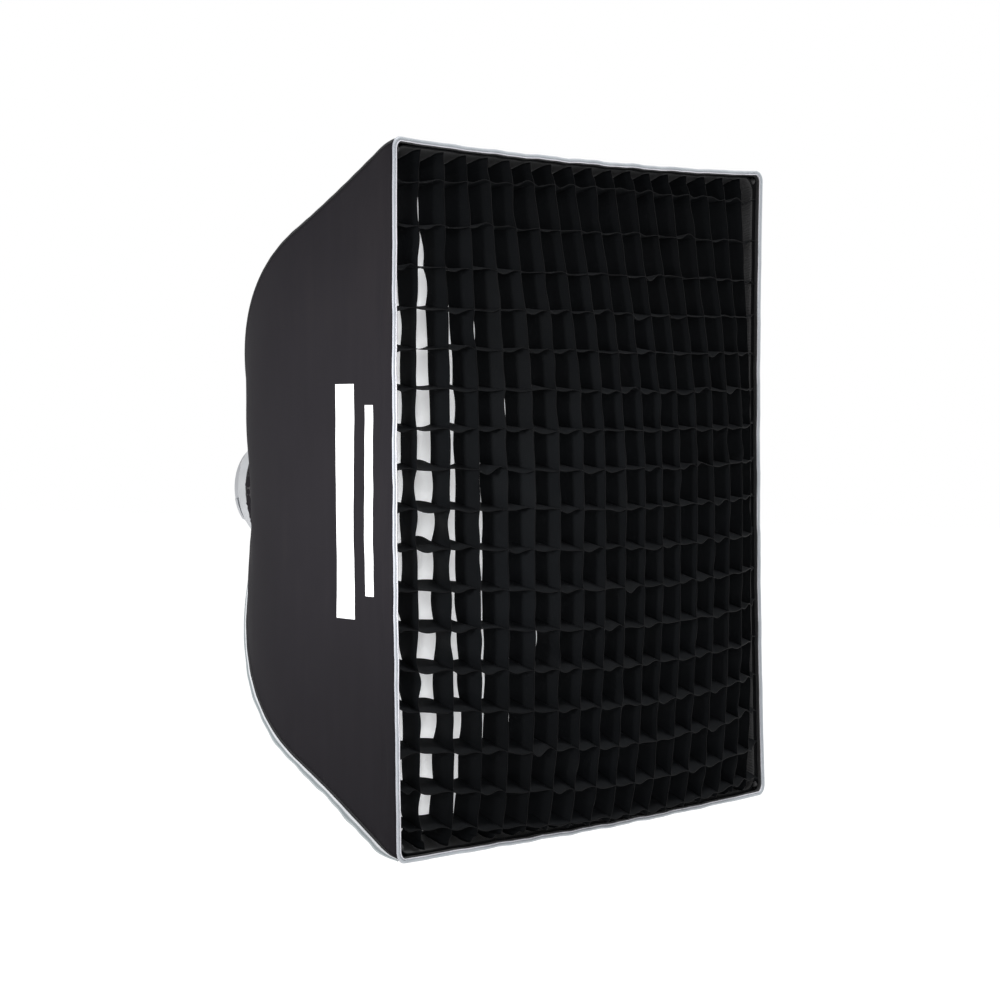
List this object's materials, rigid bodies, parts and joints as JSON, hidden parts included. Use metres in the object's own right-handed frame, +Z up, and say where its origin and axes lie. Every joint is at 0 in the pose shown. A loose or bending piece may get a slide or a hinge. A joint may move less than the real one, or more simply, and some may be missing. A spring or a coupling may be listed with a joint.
{
  "type": "softbox",
  "caption": "Square fabric softbox: a deep curved body on bent rods, a metal ring with a bayonet lamp adapter, front and inner diffusers and a lift-off fabric grid.",
  "frame": {"origin": "centre of the lamp adapter's bore, in the plane where the lamp's front face seats", "axes": "+Y along the bore towards the lamp, +Z up with the lock screw on top, the open front faces -Y"},
  "size_m": [0.9, 0.599, 0.9],
  "materials": {
    "panel_cloth": "matte woven nylon",
    "silver_piping": "woven tape, slight sheen",
    "collar_elastic": "gathered elastic hem",
    "ring_metal": "satin silver-grey paint",
    "adapter_metal": "turned, satin",
    "clip_steel": "zinc plated",
    "screw_steel": "zinc plated",
    "knob_plastic": "moulded",
    "rod_steel": "drawn spring steel",
    "rod_cap": "moulded",
    "pocket_cloth": "doubled nylon",
    "loop_tape": "loop pile",
    "grid_tape": "woven tape",
    "grid_cloth": "matte woven polyester",
    "hook_tape": "hook tape",
    "diffuser_cloth": "translucent white nylon",
    "baffle_cloth": "translucent white nylon",
    "baffle_hem": "white binding",
    "elastic": "woven elastic",
    "snap_metal": "plated"
  },
  "bodies": {
    "adapter": {"lamp_adapter": "adapter_metal"},
    "lock": {"lock_screw": "screw_steel", "lock_knob": "knob_plastic"},
    "baffle": {"baffle_panel": "baffle_cloth", "baffle_hem": "baffle_hem", "baffle_straps": "elastic", "baffle_snap_caps": "snap_metal"},
    "diffuser": {"front_diffuser": "diffuser_cloth", "diffuser_border": "hook_tape"},
    "grid": {"grid_border": "grid_tape", "grid_upright_strips": "grid_cloth", "grid_cross_strips": "grid_cloth"},
    "box": {"adapter_clips": "clip_steel", "baffle_snap_studs": "snap_metal", "baffle_tabs": "elastic", "clip_screws": "screw_steel", "corner_piping_bottom_left": "silver_piping", "corner_piping_bottom_right": "silver_piping", "corner_piping_top_left": "silver_piping", "corner_piping_top_right": "silver_piping", "diffuser_loop_tape_bottom": "loop_tape", "diffuser_loop_tape_left": "loop_tape", "diffuser_loop_tape_right": "loop_tape", "diffuser_loop_tape_top": "loop_tape", "front_rim_piping": "silver_piping", "grid_loop_tape_bottom": "loop_tape", "grid_loop_tape_left": "loop_tape", "grid_loop_tape_right": "loop_tape", "grid_loop_tape_top": "loop_tape", "neck_collar": "collar_elastic", "panel_bottom": "panel_cloth", "panel_left": "panel_cloth", "panel_right": "panel_cloth", "panel_top": "panel_cloth", "rod_bottom_left": "rod_steel", "rod_bottom_right": "rod_steel", "rod_cap_bottom_left": "rod_cap", "rod_cap_bottom_right": "rod_cap", "rod_cap_top_left": "rod_cap", "rod_cap_top_right": "rod_cap", "rod_pocket_bottom_left": "pocket_cloth", "rod_pocket_bottom_right": "pocket_cloth", "rod_pocket_top_left": "pocket_cloth", "rod_pocket_top_right": "pocket_cloth", "rod_top_left": "rod_steel", "rod_top_right": "rod_steel", "speed_ring": "ring_metal"}
  },
  "joints": [
    {"name": "ring_swivel", "type": "hinge", "parent": "adapter", "child": "box", "pos_m": [0, -0.0105, 0], "axis": [0, 1, 0], "continuous": true},
    {"name": "lock_turn", "type": "hinge", "parent": "box", "child": "lock", "pos_m": [0, -0.0105, 0], "axis": [0, 0, 1], "range_deg": [0, 360]},
    {"name": "baffle_lift", "type": "slide", "parent": "box", "child": "baffle", "axis": [0, -1, 0], "range_m": [0, 0.6]},
    {"name": "diffuser_lift", "type": "slide", "parent": "baffle", "child": "diffuser", "axis": [0, -1, 0], "range_m": [0, 0.25]},
    {"name": "grid_lift", "type": "slide", "parent": "diffuser", "child": "grid", "axis": [0, -1, 0], "range_m": [0, 0.15]}
  ]
}
